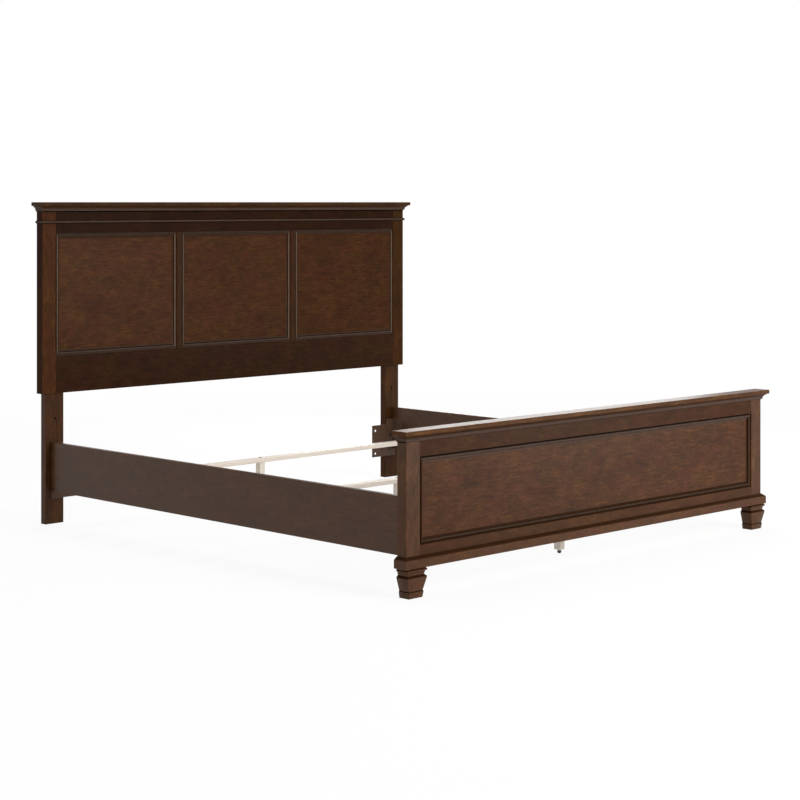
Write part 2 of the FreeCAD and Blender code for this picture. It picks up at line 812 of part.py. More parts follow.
for name, y in slatPlaces.items():
    slat = doc.addObject("PartDesign::Body", f"cross_slat_{name}")
    tube(slat, "YZ_Plane", d.slatWide * 0.5, d.slatTall * 0.5, d.slatRound, slatHalf * 2)
    node(place(slat, 0, y, slatBottom + d.slatTall * 0.5), f"cross_slat_{name}")

    leg = doc.addObject("PartDesign::Body", f"centre_leg_{name}")
    side_half = d.tubeSide * 0.5
    tube(leg, "XY_Plane", side_half, side_half, d.tubeRound, tubeTall)
    for zLow, zHigh in ((slatBottom - d.tubePlate, slatBottom),
                        (d.tubeBottom, d.tubeBottom + d.tubePlug)):
        plug = sketch_on(leg, "XY_Plane")
        outline(plug, cut_square(sleeve, sleeve, d.tubeRound - d.slatWall))
        if zLow is d.tubeBottom:
            circles(plug, [(0, 0)], d.stemRadius + d.runningGap)
        bind(plug, AttachmentOffset__Base__z=zLow - tubeMiddle)
        seat = leg.newObject("PartDesign::Pad", f"{leg.Name}_plug")
        seat.Profile = plug
        bind(seat, Length=zHigh - zLow)
    node(place(leg, 0, y, tubeMiddle), f"centre_leg_{name}")

    # A round nylon foot, a six-sided collar for the spanner and a screwed stem.
    base = pad(doc.addObject("PartDesign::Body", f"glide_base_{name}"), "XY_Plane",
               ring(glideSides, d.glideRadius), d.glideTall)
    ease(base, "Chamfer", d.glideSlope, lambda middle, direction:
         abs(direction.z) < aligned and middle.z < 0)
    place(base, 0, 0, d.glideTall * 0.5)
    collar = rod(f"glide_collar_{name}", 6, d.collarRadius, d.glideTall + d.collarTall, d.glideTall)
    stem = rod(f"glide_stem_{name}", headSides, d.stemRadius, d.stemTop, d.glideTall)
    glide = fused(f"glide_{name}", [base, collar, stem])
    node(place(glide, 0, y, 0), f"glide_{name}")

# ---------------------------------------------------------------- fasteners
# Every fastener stands on z = 0 of its own frame, head up and shank down.


def hex_bolt(name, shank):
    return fused(name, [rod(f"{name}_head", 6, d.hexCorner, d.headTall, 0),
                        rod(f"{name}_shank", holeSides, d.boltRadius, 0, -sized(shank))])


def pan_screw(name, shank):
    return fused(name, [rod(f"{name}_head", headSides, d.screwHead, d.screwHeadTall, 0),
                        rod(f"{name}_shank", holeSides, d.screwRadius, 0, -sized(shank))])


def bit(name, radius, deep):
    """A clearance bit that goes deep below the face it enters."""
    return rod(name, holeSides, radius * roomy, d.bitOver, -deep)


def countersink(name):
    return rod(name, holeSides, d.counterBore, d.counterDeep + d.tipRoom, 0)


def pierce(label, drill_bit, spots):
    """Cuts a clearance hole through a finished piece at each spot."""
    blank = next(piece for piece in nodes if piece.Label == label)
    cutters = doc.addObject("Part::Compound", f"{label}_{drill_bit.Name}s")
    cutters.Links = linked(f"{label}_{drill_bit.Name}", drill_bit, spots)
    cut = doc.addObject("Part::Cut", f"{label}_{drill_bit.Name}_cut")
    cut.Base = blank
    cut.Tool = cutters
    blank.Label = f"{label}_before_{drill_bit.Name}"
    cut.Label = label
    nodes[nodes.index(blank)] = cut


def on_side(spots, side):
    return [spot for spot in spots if sized(spot[0]).value * side > 0]


# Headboard frame to headboard legs: bolts from behind, their heads sunk in the legs.
legShank = d.legTongue - d.counterDeep + d.legGrip
legBolt = hex_bolt("leg_bolt", legShank)
legBit = fused("leg_bit", [bit("leg_bit_shank", d.boltHole, legShank + d.tipRoom),
                           countersink("leg_bit_head")])
seatDepth = yHeadBack - d.counterDeep
legSpots = {z: [(d.legBoltX * side, seatDepth, z, faces_head) for side in (left, right)]
            for z in (d.legBoltLow, d.legBoltMid, d.legBoltTop)}
allLegSpots = [spot for pair in legSpots.values() for spot in pair]
copies("headboard_leg_bolts", legBolt, allLegSpots)
pierce("headboard_bottom_rail", legBit, legSpots[d.legBoltLow] + legSpots[d.legBoltMid])
pierce("headboard_top_rail", legBit, legSpots[d.legBoltTop])

# Side rails to headboard legs: bolts through bracket, leg plate and leg, with sunk nuts behind.
plateBolt = hex_bolt("plate_bolt", d.legThick + d.plateThick - d.tipRoom)
plateBit = bit("plate_bit", d.boltHole, d.bitLong)
nutBit = countersink("nut_bit")
nut = doc.addObject("Part::Cut", "nut")
nut.Base = rod("nut_blank", 6, d.hexCorner, d.nutTall, 0)
nut.Tool = rod("nut_bore", holeSides, (d.boltRadius + d.runningGap) * roomy, d.nutTall, 0)
plateSpots = []
for side in (left, right):
    plateSpots.append((d.boltX * side, yPlate, d.boltLow, faces_foot))
    plateSpots += [(d.boltX * side, yPlate - d.bracketThick, z, faces_foot)
                   for z in (d.boltMid, d.boltHigh)]
nutSpots = [(x, seatDepth, z, faces_head) for x, y, z, turn in plateSpots]
copies("head_bracket_bolts", plateBolt, plateSpots)
copies("head_bracket_nuts", nut, nutSpots)

# Side rails to footboard: bolts through the bracket into the corner block.
blockDeep = d.bracketThick + d.frameDepth - d.frameThick
blockBolt = hex_bolt("block_bolt", blockDeep - d.tipRoom)
blockSpots = [(d.footBoltX * side, yFootBack + d.bracketThick, z, faces_head)
              for side in (left, right) for z in (d.boltMid, d.footBoltHigh)]
blockBit = bit("block_bit", d.boltHole, blockDeep)
copies("foot_bracket_bolts", blockBolt, blockSpots)

# Brackets and ledgers to side rails: wood screws.
screwBit = bit("screw_bit", d.screwHole, d.bracketThick + d.railGrip + d.tipRoom)
bracketScrew = pan_screw("bracket_screw", d.bracketThick + d.railGrip)
bracketScrewSpots = [
    ((railInner - d.bracketThick) * side, y, z, faces_side[-side])
    for side in (left, right)
    for edge, along in ((yPlate, -1), (yFootBack, 1))
    for y in (edge + d.bracketScrewNear * along, edge + d.bracketScrewFar * along)
    for z in (d.bracketLow + d.bracketScrewEdge, d.bracketHigh - d.bracketScrewEdge)]
copies("bracket_screws", bracketScrew, bracketScrewSpots)

ledgerScrewSteps = (-0.46, -0.12, 0.12, 0.46)     # shares of the ledger's length from its middle
ledgerScrew = pan_screw("ledger_screw", d.ledgerThick + d.railGrip)
ledgerBit = bit("ledger_bit", d.screwHole, d.ledgerThick + d.railGrip + d.tipRoom)
ledgerSpots = [((railInner - d.ledgerThick) * side, yRailMiddle + ledgerLong * step, zLedger,
                faces_side[-side])
               for side in (left, right) for step in ledgerScrewSteps]
copies("ledger_screws", ledgerScrew, ledgerSpots)

# Slats to ledgers, and slats to their centre legs.
slatScrew = pan_screw("slat_screw", d.slatTall + d.ledgerGrip)
slatBit = bit("slat_bit", d.screwHole, d.slatTall + d.ledgerGrip + d.tipRoom)
slatSpots = {name: [(screwX * side, y, d.slatTop, upright) for side in (left, right)]
             for name, y in slatPlaces.items()}
allSlatSpots = [spot for pair in slatSpots.values() for spot in pair]
copies("slat_end_screws", slatScrew, allSlatSpots)

slatBolt = fused("slat_bolt", [
    rod("slat_bolt_head", headSides, d.slatBoltHead, d.slatBoltHeadTall, 0),
    rod("slat_bolt_shank", holeSides, d.boltRadius, 0, -d.slatBoltLong)])
centreSpots = {name: [(0, y, d.slatTop, upright)] for name, y in slatPlaces.items()}
copies("slat_leg_bolts", slatBolt, [spot for one in centreSpots.values() for spot in one])
copies("slat_leg_nuts", nut, [(0, y, slatBottom - d.tubePlate, upside_down)
                              for y in slatPlaces.values()])
for name in slatPlaces:
    pierce(f"cross_slat_{name}", slatBit, slatSpots[name])
    pierce(f"cross_slat_{name}", plateBit, centreSpots[name])
    pierce(f"centre_leg_{name}", plateBit, centreSpots[name])

# Footboard feet to posts: a headless stud in each.
stud = rod("stud", holeSides, d.boltRadius, d.studLong, 0)
studBit = rod("stud_bit", holeSides, d.boltHole * roomy, d.studLong + d.tipRoom, 0)
studSpots = [((bedHalf - d.footInset) * side, yFront + d.frameDepth * 0.5,
              d.baseBottom - d.studLong * 0.5, upright) for side in (left, right)]
copies("foot_studs", stud, studSpots)

for side, name in side_names.items():
    pierce(f"headboard_leg_{name}", legBit, on_side(allLegSpots, side))
    pierce(f"headboard_leg_{name}", plateBit, on_side(plateSpots, side))
    pierce(f"headboard_leg_{name}", nutBit, on_side(nutSpots, side))
    pierce(f"leg_plate_{name}", plateBit, on_side(plateSpots, side))
    pierce(f"head_bracket_{name}", plateBit, on_side(plateSpots, side))
    pierce(f"foot_bracket_{name}", blockBit, on_side(blockSpots, side))
    pierce(f"footboard_corner_block_{name}", blockBit, on_side(blockSpots, side))
    for bracket in ("head", "foot"):
        pierce(f"{bracket}_bracket_{name}", screwBit, on_side(bracketScrewSpots, side))
    pierce(f"side_rail_{name}", screwBit, on_side(bracketScrewSpots, side))
    pierce(f"side_rail_{name}", ledgerBit, on_side(ledgerSpots, side))
    pierce(f"rail_ledger_{name}", ledgerBit, on_side(ledgerSpots, side))
    pierce(f"rail_ledger_{name}", slatBit, on_side(allSlatSpots, side))
    pierce(f"footboard_foot_{name}", studBit, on_side(studSpots, side))
    pierce(f"footboard_post_{name}", studBit, on_side(studSpots, side))

# ---------------------------------------------------------------- check and export

doc.recompute()
faults = [item.Label for item in doc.Objects
          if "Invalid" in item.State or "Error" in item.State]
for piece in nodes:
    if piece.Shape.isNull() or not piece.Shape.isValid() or not piece.Shape.Solids:
        faults.append(piece.Label)
if faults:
    raise RuntimeError("failed: " + ", ".join(faults))

os.makedirs("parts", exist_ok=True)
for piece in nodes:
    piece.Shape.exportStep(f"parts/{piece.Label}.step")
    box = piece.Shape.BoundBox
    print(f"{piece.Label:34s} solids {len(piece.Shape.Solids):2d}  volume {piece.Shape.Volume:12.0f}"
          f"  z {box.ZMin:7.1f} {box.ZMax:7.1f}")
print(len(nodes), "nodes; overall", overall.value, "long")
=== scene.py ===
import math

import bmesh
import bpy
import numpy as np
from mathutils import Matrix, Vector


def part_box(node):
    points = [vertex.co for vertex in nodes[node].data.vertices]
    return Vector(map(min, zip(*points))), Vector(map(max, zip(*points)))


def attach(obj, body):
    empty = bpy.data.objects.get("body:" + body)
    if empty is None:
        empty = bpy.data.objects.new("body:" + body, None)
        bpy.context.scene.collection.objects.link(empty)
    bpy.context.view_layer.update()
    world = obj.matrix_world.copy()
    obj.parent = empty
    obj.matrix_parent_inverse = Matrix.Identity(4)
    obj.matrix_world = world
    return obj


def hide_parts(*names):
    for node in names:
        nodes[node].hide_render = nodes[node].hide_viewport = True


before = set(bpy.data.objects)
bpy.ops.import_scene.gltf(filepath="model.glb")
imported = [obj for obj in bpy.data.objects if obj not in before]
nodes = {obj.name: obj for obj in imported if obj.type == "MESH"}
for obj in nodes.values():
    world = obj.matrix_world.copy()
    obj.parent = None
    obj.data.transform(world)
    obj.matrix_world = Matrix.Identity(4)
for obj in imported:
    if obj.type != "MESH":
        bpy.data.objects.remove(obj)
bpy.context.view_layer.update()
mm = 0.001
print("frame loaded:", len(nodes), "nodes")


# small helpers

def linearFromHex(text):
    # sRGB hex to the linear values that a shader socket takes
    values = [int(text[i:i + 2], 16) / 255 for i in (1, 3, 5)]
    return [v / 12.92 if v <= 0.04045 else ((v + 0.055) / 1.055) ** 2.4 for v in values] + [1.0]


def scaled(colour, factor):
    return [min(1.0, c * factor) for c in colour[:3]] + [1.0]


def addNode(tree, kind, settings=None, links=None):
    node = tree.nodes.new("ShaderNode" + kind)
    for key, value in (settings or {}).items():
        if isinstance(key, str) and hasattr(node, key):
            setattr(node, key, value)
        else:
            node.inputs[key].default_value = value
    for key, source in (links or {}).items():
        tree.links.new(source, node.inputs[key])
    return node


def newMaterial(name):
    material = bpy.data.materials.new(name)
    material.use_nodes = True
    material.node_tree.nodes.clear()
    return material, material.node_tree


def grainScale(axis, along, across):
    # pattern units per metre, from millimetres along the grain's axis and across it
    scale = [1000 / across] * 3
    scale["XYZ".index(axis)] = 1000 / along
    return scale


# lacquered veneer and solid wood
# Birch veneer, dyed brown, glazed and sprayed with a satin lacquer: short level streaks under soft
# amber and red clouds, fine dark pores, and a sheen that only shows at a low angle.

veneer = {
    "umber": ("#2b1a0d", "#432a15", "#5f3c1c"),      # dark, middle and light of the dye
    "russet": ("#2e1a10", "#462717", "#583220"),
    "dyeAt": (0.2, 0.5, 0.8),  # where on the figure those three sit
    "hueRange": (0.35, 0.65),  # ends of the hue pattern, towards russet and towards umber
    "poreInk": "#1a0d06",
    "poreRange": (0.58, 0.74),
    "poreDepth": 0.4,
    "sidewaysPast": 0.9,       # how squarely a face has to look left or right to get the painted side shade and highlight
    "returnsPast": 1000 * mm,  # the outer returns lie past this, from the middle of the bed
    "roughRange": (0.3, 0.7),
    "roughness": (0.29, 0.41),
    "noiseRoughness": 0.55,
    "grainRelief": 0.35,
    "bumpStrength": 0.2,
    "bump": 0.12 * mm,
    "ior": 1.5,
    "sheen": 0.05,             # specular level of the satin lacquer
}

# millimetres along and across the grain, detail, distortion
woodPatterns = {
    "cloud": ((190, 120), 2.0, 0.4),
    "mottle": ((56, 30), 3.0, 0.6),
    "streak": ((52, 7), 3.0, 0.3),
    "fleck": ((15, 4), 2.0, 0.0),
    "grain": ((60, 2.6), 4.0, 0.0),      # real lines are finer; as coarse as a render can show
    "pore": ((17, 1.5), 2.0, 0.0),
    "hue": ((110, 70), 2.0, 0.5),
}
figureWeights = {"cloud": 0.35, "mottle": 0.55, "streak": 0.5, "fleck": 0.45, "grain": 0.5}


def lacqueredWood(name, axis, shift, figure=1.0, tone=1.0, warmth=0.5, sheen=veneer["sheen"],
                  returnShade=1.0, innerHighlight=1.0):
    material, tree = newMaterial(name)
    place = addNode(tree, "TexCoord").outputs["Object"]

    def pattern(size, detail, distortion):
        spread = addNode(tree, "Mapping", {"Scale": grainScale(axis, *size), "Location": shift},
                         {"Vector": place})
        noise = addNode(tree, "TexNoise", {"Scale": 1.0, "Detail": detail,
                                           "Roughness": veneer["noiseRoughness"],
                                           "Distortion": distortion},
                        {"Vector": spread.outputs[0]})
        return noise.outputs[0]

    patterns = {kind: pattern(*spec) for kind, spec in woodPatterns.items()}

    # one half plus the weighted sum of the patterns, each centred on zero
    total = addNode(tree, "Value").outputs[0]
    total.default_value = 0.5
    for kind, weight in figureWeights.items():
        centred = addNode(tree, "Math", {"operation": "SUBTRACT", 1: 0.5}, {0: patterns[kind]})
        weighed = addNode(tree, "Math", {"operation": "MULTIPLY", 1: weight * figure},
                          {0: centred.outputs[0]})
        total = addNode(tree, "Math", {"operation": "ADD"},
                        {0: total, 1: weighed.outputs[0]}).outputs[0]
    dyes = []
    for shades in (veneer["russet"], veneer["umber"]):
        ramp = addNode(tree, "ValToRGB", {}, {"Fac": total})
        ramp.color_ramp.elements.new(veneer["dyeAt"][1])
        for element, position, shade in zip(ramp.color_ramp.elements, veneer["dyeAt"], shades):
            element.position = position
            element.color = [c * tone for c in linearFromHex(shade)[:3]] + [1.0]
        dyes.append(ramp.outputs[0])
    low, high = veneer["hueRange"]
    hue = addNode(tree, "MapRange", {"From Min": low, "From Max": high, "To Min": warmth - 0.5,
                                     "To Max": warmth + 0.5}, {"Value": patterns["hue"]})
    dyed = addNode(tree, "Mix", {"data_type": "RGBA"}, {0: hue.outputs[0], 6: dyes[0], 7: dyes[1]})
    low, high = veneer["poreRange"]
    pores = addNode(tree, "MapRange", {"From Min": low, "From Max": high, "To Min": 0.0,
                                       "To Max": veneer["poreDepth"]},
                    {"Value": patterns["pore"]})
    colour = addNode(tree, "Mix", {"data_type": "RGBA", 7: linearFromHex(veneer["poreInk"])},
                     {0: pores.outputs[0], 6: dyed.outputs[2]})

    # faces that look left or right get painted light and shade: the outer returns are darkened as
    # painted shade, and the inner side faces round the panels are lightened as a painted highlight,
    # like the beads
    normal = addNode(tree, "NewGeometry").outputs["Normal"]
    past = []
    for vector, limit in ((normal, veneer["sidewaysPast"]), (place, veneer["returnsPast"])):
        across = addNode(tree, "SeparateXYZ", {}, {0: vector}).outputs[0]
        size = addNode(tree, "Math", {"operation": "ABSOLUTE"}, {0: across}).outputs[0]
        past.append(addNode(tree, "Math", {"operation": "GREATER_THAN", 1: limit}, {0: size}))
    edge, outer = past
    sideLightTone = addNode(tree, "Mix", {2: innerHighlight, 3: returnShade}, {0: outer.outputs[0]})
    paintedSideLight = addNode(tree, "Mix", {2: 1.0}, {0: edge.outputs[0], 3: sideLightTone.outputs[0]})
    finished = addNode(tree, "VectorMath", {"operation": "SCALE"},
                       {0: colour.outputs[2], "Scale": paintedSideLight.outputs[0]})

    (low, high), (smooth, dull) = veneer["roughRange"], veneer["roughness"]
    rough = addNode(tree, "MapRange", {"From Min": low, "From Max": high, "To Min": smooth,
                                       "To Max": dull}, {"Value": patterns["grain"]})
    lines = addNode(tree, "Math", {"operation": "MULTIPLY", 1: veneer["grainRelief"]},
                    {0: patterns["grain"]})
    relief = addNode(tree, "Math", {"operation": "SUBTRACT"},
                     {0: lines.outputs[0], 1: pores.outputs[0]})
    bump = addNode(tree, "Bump", {"Strength": veneer["bumpStrength"], "Distance": veneer["bump"]},
                   {"Height": relief.outputs[0]})
    shader = addNode(tree, "BsdfPrincipled", {"IOR": veneer["ior"], "Specular IOR Level": sheen},
                     {"Base Color": finished.outputs[0], "Roughness": rough.outputs[0],
                      "Normal": bump.outputs[0]})
    addNode(tree, "OutputMaterial", {}, {"Surface": shader.outputs[0]})
    return material


# Painted light and shade on the mouldings: near-black painted shade in the quirks, dark brown on
# the slopes, painted half shade, and pale painted highlights on the crowns of the beads.

paintedShading = {
    # near-black painted shade in the quirks and creases
    "quirk": "#140902",
    # dark brown on the slopes, painted shade where the panel mouldings use it
    "slope": "#2b1604",
    "dim": "#3a2c22",          # painted half shade
    "rubbedX": "#483931",      # painted highlight on crowns that run across
    "rubbedZ": "#5d4b3f",      # painted highlight on crowns that stand upright, lighter than those across
    "brushMm": (30, 3),        # along the moulding and across it
    "brushDetail": 3.0,
    "brushRange": (0.3, 0.7),
    "spread": 0.22,            # lighter and darker by this share
    "roughness": (0.4, 0.52),
    "bumpStrength": 0.2,
    "bump": 0.1 * mm,
    "sheen": 0.03,
}


def paintedLightFinish(name, shade, axis):
    # one colour, a little lighter and darker along the moulding: painted shade, painted half shade,
    # painted highlight, and the dark brown of the slopes
    material, tree = newMaterial(name)
    place = addNode(tree, "TexCoord").outputs["Object"]
    spread = addNode(tree, "Mapping", {"Scale": grainScale(axis, *paintedShading["brushMm"])},
                     {"Vector": place})
    alongNoise = addNode(tree, "TexNoise", {"Scale": 1.0, "Detail": paintedShading["brushDetail"]},
                   {"Vector": spread.outputs[0]}).outputs[0]
    colour = linearFromHex(paintedShading[shade])
    low, high = paintedShading["brushRange"]
    strength = addNode(tree, "MapRange", {"From Min": low, "From Max": high}, {"Value": alongNoise})
    mixed = addNode(tree, "Mix", {"data_type": "RGBA", 6: scaled(colour, 1 - paintedShading["spread"]),
                                  7: scaled(colour, 1 + paintedShading["spread"])},
                    {0: strength.outputs[0]})
    smooth, dull = paintedShading["roughness"]
    rough = addNode(tree, "MapRange", {"To Min": smooth, "To Max": dull}, {"Value": alongNoise})
    bump = addNode(tree, "Bump", {"Strength": paintedShading["bumpStrength"], "Distance": paintedShading["bump"]},
                   {"Height": alongNoise})
    shader = addNode(tree, "BsdfPrincipled", {"Specular IOR Level": paintedShading["sheen"]},
                     {"Base Color": mixed.outputs[2], "Roughness": rough.outputs[0],
                      "Normal": bump.outputs[0]})
    addNode(tree, "OutputMaterial", {}, {"Surface": shader.outputs[0]})
    return material


# metal and plastic finishes

paint = {
    "creamPowder": "#d8cdc0",
    "brownPowder": "#503c2f",
    "zincPlate": "#a9a69e",
    "dullPlate": "#57504a",
    "blackPlastic": "#161515",
    "bloomMm": 45,
    "bloomDetail": 3.0,
    "peelDetail": 2.0,
    "polish": 0.07,            # roughness varies by this each way
    "bumpStrength": 0.3,
}


def sprayedMetal(name, shade, roughness, metallic=0.0, speckleMm=1.1, depthMm=0.05, spread=0.08,
                 sheen=0.5):
    # powder coat: baked plastic skin with a slight orange-peel texture; zinc: dull crystal bloom;
    # nylon: an even satin skin straight from the mould
    material, tree = newMaterial(name)
    place = addNode(tree, "TexCoord").outputs["Object"]
    peel = addNode(tree, "TexNoise", {"Scale": 1000 / speckleMm, "Detail": paint["peelDetail"]},
                   {"Vector": place}).outputs[0]
    bloom = addNode(tree, "TexNoise", {"Scale": 1000 / paint["bloomMm"],
                                       "Detail": paint["bloomDetail"]},
                    {"Vector": place}).outputs[0]
    colour = linearFromHex(paint[shade])
    mixed = addNode(tree, "Mix", {"data_type": "RGBA", 6: scaled(colour, 1 - spread),
                                  7: scaled(colour, 1 + spread)}, {0: bloom})
    rough = addNode(tree, "MapRange", {"To Min": roughness - paint["polish"],
                                       "To Max": roughness + paint["polish"]}, {"Value": bloom})
    bump = addNode(tree, "Bump", {"Strength": paint["bumpStrength"], "Distance": depthMm * mm},
                   {"Height": peel})
    shader = addNode(tree, "BsdfPrincipled", {"Metallic": metallic, "Specular IOR Level": sheen},
                     {"Base Color": mixed.outputs[2], "Roughness": rough.outputs[0],
                      "Normal": bump.outputs[0]})
    addNode(tree, "OutputMaterial", {}, {"Surface": shader.outputs[0]})
    return material


# on the stiles the outer returns are darkened as painted shade, and on the stiles, mullions and
# posts the inner faces that look left or right are lightened as a painted highlight
finishes = {
    "frieze": lacqueredWood("satin lacquered veneer, frieze", "X", (0.3, 1.7, 4.1),
                            figure=0.7, tone=0.33, sheen=0.03),
    "headRail": lacqueredWood("satin lacquered veneer, headboard lower rail", "X",
                              (3.3, 5.7, 2.1), figure=0.8, tone=0.46, sheen=0.04),
    "headStile": lacqueredWood("satin lacquered veneer, headboard stiles", "Z", (5.2, 0.4, 2.6),
                               figure=0.9, warmth=0.4, sheen=0.02,
                               returnShade=0.5, innerHighlight=2.0),
    "farStile": lacqueredWood("satin lacquered veneer, right stile", "Z", (1.2, 6.4, 5.6),
                              figure=0.7, tone=0.72, warmth=0.9, sheen=0.02,
                              returnShade=0.5, innerHighlight=2.0),
    "mullion": lacqueredWood("satin lacquered veneer, mullions", "Z", (2.2, 8.4, 1.6),
                             figure=0.6, tone=0.62, innerHighlight=2.4),
    "leg": lacqueredWood("satin lacquered veneer, legs", "Z", (9.2, 2.4, 4.6),
                         figure=0.7, tone=0.9, warmth=0.6, sheen=0.1),
    "farLeg": lacqueredWood("satin lacquered veneer, right leg", "Z", (4.2, 7.4, 1.6),
                            figure=0.7, tone=0.8, warmth=0.9, sheen=0.06),
    "footRail": lacqueredWood("satin lacquered veneer, footboard rails", "X",
                              (4.3, 0.7, 6.1), figure=0.7, tone=0.74),
    "footLowRail": lacqueredWood("satin lacquered veneer, footboard lower rail", "X",
                                 (2.3, 8.7, 4.1), figure=0.7, tone=0.95, warmth=0.7, sheen=0.07),
    "post": lacqueredWood("satin lacquered veneer, posts", "Z", (7.2, 3.4, 0.6),
                          figure=0.9, tone=1.1, warmth=0.75, sheen=0.14, innerHighlight=1.5),
    "sideRail": lacqueredWood("satin lacquered veneer, side rails", "Y", (2.3, 7.7, 1.1),
                              figure=0.55, warmth=0.95, sheen=0.23),
    "panel": lacqueredWood("satin lacquered veneer, left panel", "X", (8.6, 3.1, 6.4),
                           figure=0.9, tone=0.98),
    "middlePanel": lacqueredWood("satin lacquered veneer, middle panel", "X", (2.6, 4.1, 9.4),
                                 figure=0.9, tone=0.89, warmth=0.55, sheen=0.04),
    "farPanel": lacqueredWood("satin lacquered veneer, right panel", "X", (5.6, 7.1, 1.4),
                              figure=0.9, tone=0.82, warmth=0.6, sheen=0.03),
    "footPanel": lacqueredWood("satin lacquered veneer, footboard panel", "X", (0.6, 9.1, 3.4),
                               figure=0.95, warmth=0.55, sheen=0.08),
    # one birch for both caps: the headboard's is made darker and the footboard's lighter, painted
    # shade on the one and painted light on the other
    "headCap": lacqueredWood("satin lacquered birch, headboard cap", "X", (1.1, 9.3, 3.3),
                             figure=0.9, tone=0.8, warmth=1.1),
    "footCap": lacqueredWood("satin lacquered birch, footboard cap", "X", (6.1, 2.3, 8.3),
                             figure=0.9, tone=1.25, warmth=1.1),
    "baseX": lacqueredWood("satin lacquered birch, base", "X", (3.1, 4.3, 7.3),
                           figure=0.6, tone=1.2, warmth=0.75, sheen=0.12),
    "baseY": lacqueredWood("satin lacquered birch, base returns", "Y", (5.1, 1.3, 2.3),
                           figure=0.6, tone=1.2, warmth=0.75, sheen=0.16),
    "foot": lacqueredWood("satin lacquered birch, feet", "Z", (8.1, 6.3, 0.3),
                          figure=0.6, tone=1.12, warmth=0.8, sheen=0.14),
    "mouldX": lacqueredWood("satin lacquered birch, across", "X", (1.6, 5.5, 9.4),
                            figure=0.6, tone=0.8),
    "mouldY": lacqueredWood("satin lacquered birch, returns", "Y", (3.6, 2.5, 7.4),
                            figure=0.6, tone=0.8),
    "mouldZ": lacqueredWood("satin lacquered birch, upright", "Z", (6.6, 4.5, 0.4),
                            figure=0.6, tone=0.85),
    # painted light on the mouldings: near-black painted shade in the quirks and creases; dark brown
    # on the slopes, which is painted shade where the panel mouldings use it; painted half shade;
    # and pale painted highlights on the bead crowns
    "quirkX": paintedLightFinish("painted shade in the quirks, across", "quirk", "X"),
    "quirkZ": paintedLightFinish("painted shade in the quirks, upright", "quirk", "Z"),
    "slopeX": paintedLightFinish("dark brown and painted shade on the slopes, across", "slope", "X"),
    "slopeZ": paintedLightFinish("dark brown and painted shade on the slopes, upright", "slope", "Z"),
    "dimX": paintedLightFinish("painted half shade, across", "dim", "X"),
    "dimZ": paintedLightFinish("painted half shade, upright", "dim", "Z"),
    "rubbedX": paintedLightFinish("rubbed glaze on the beads, across", "rubbedX", "X"),
    "rubbedZ": paintedLightFinish("rubbed glaze on the beads, upright", "rubbedZ", "Z"),
    "cream": sprayedMetal("cream powder coat", "creamPowder", 0.45, spread=0.02),
    "brown": sprayedMetal("brown powder coat", "brownPowder", 0.4, sheen=0.15),
    "zinc": sprayedMetal("zinc plated steel", "zincPlate", 0.38, metallic=1.0, speckleMm=0.9,
                         depthMm=0.02, spread=0.1),
    "dull": sprayedMetal("brown passivated steel", "dullPlate", 0.5, metallic=1.0,
                         speckleMm=0.9, depthMm=0.02, spread=0.1),
    "plastic": sprayedMetal("moulded black nylon", "blackPlastic", 0.5, depthMm=0.02),
}
print("materials made:", len(finishes))


# CAD pieces keep their shape and get a finish and softened edges

edgeSoftness = {"wood": 0.9 * mm, "metal": 0.4 * mm, "small": 0.25 * mm, "segments": 2,
                "limit": math.radians(40), "weld": 0.01 * mm}

# start of the node's name: finish and edge. The first that fits is taken; pieces with no line
# here are redrawn below.
finishOf = {
    "headboard_stile_right": ("farStile", "wood"),
    "headboard_stile_left": ("headStile", "wood"),
    "headboard_leg_bolts": ("dull", "small"),
    "headboard_leg_right": ("farLeg", "wood"),
    "headboard_leg_left": ("leg", "wood"),
    "headboard_mullion_": ("mullion", "wood"),
    "headboard_panel_left": ("panel", "wood"),
    "headboard_panel_middle": ("middlePanel", "wood"),
    "headboard_panel_right": ("farPanel", "wood"),
    "headboard_top_batten": ("headRail", "wood"),
    "headboard_top_rail": ("frieze", "wood"),
    "headboard_bottom_rail": ("headRail", "wood"),
    "headboard_cap": ("headCap", "wood"),
    "footboard_cap": ("footCap", "wood"),
    "footboard_post_": ("post", "wood"),
    "footboard_corner_block_": ("post", "wood"),
    "footboard_top_rail": ("footRail", "wood"),
    "footboard_bottom_rail": ("footLowRail", "wood"),
    "footboard_panel": ("footPanel", "wood"),
    "side_rail_": ("sideRail", "wood"),
    "rail_ledger_": ("sideRail", "wood"),
    "leg_plate_": ("brown", "metal"),
    "cross_slat_": ("cream", "metal"),
    "centre_leg_": ("cream", "metal"),
    "head_bracket_bolts": ("dull", "small"),
    "head_bracket_nuts": ("dull", "small"),
    "head_bracket_": ("brown", "metal"),
    "foot_bracket_bolts": ("dull", "small"),
    "foot_bracket_": ("brown", "metal"),
    "bracket_screws": ("dull", "small"),
    "ledger_screws": ("zinc", "small"),
    "slat_": ("zinc", "small"),
    "foot_studs": ("zinc", "small"),
}


def soften(node, width):
    weld = node.modifiers.new("weld", "WELD")
    weld.merge_threshold = edgeSoftness["weld"]
    bevel = node.modifiers.new("eased edges", "BEVEL")
    bevel.width = width
    bevel.segments = edgeSoftness["segments"]
    bevel.limit_method = "ANGLE"
    bevel.angle_limit = edgeSoftness["limit"]
    bevel.harden_normals = False


for name, node in nodes.items():
    start = next((text for text in finishOf if name.startswith(text)), None)
    if start is not None:
        finish, edge = finishOf[start]
        node.data.materials.clear()
        node.data.materials.append(finishes[finish])
        soften(node, edgeSoftness[edge])
print("boards and metal dressed")


# surfaces

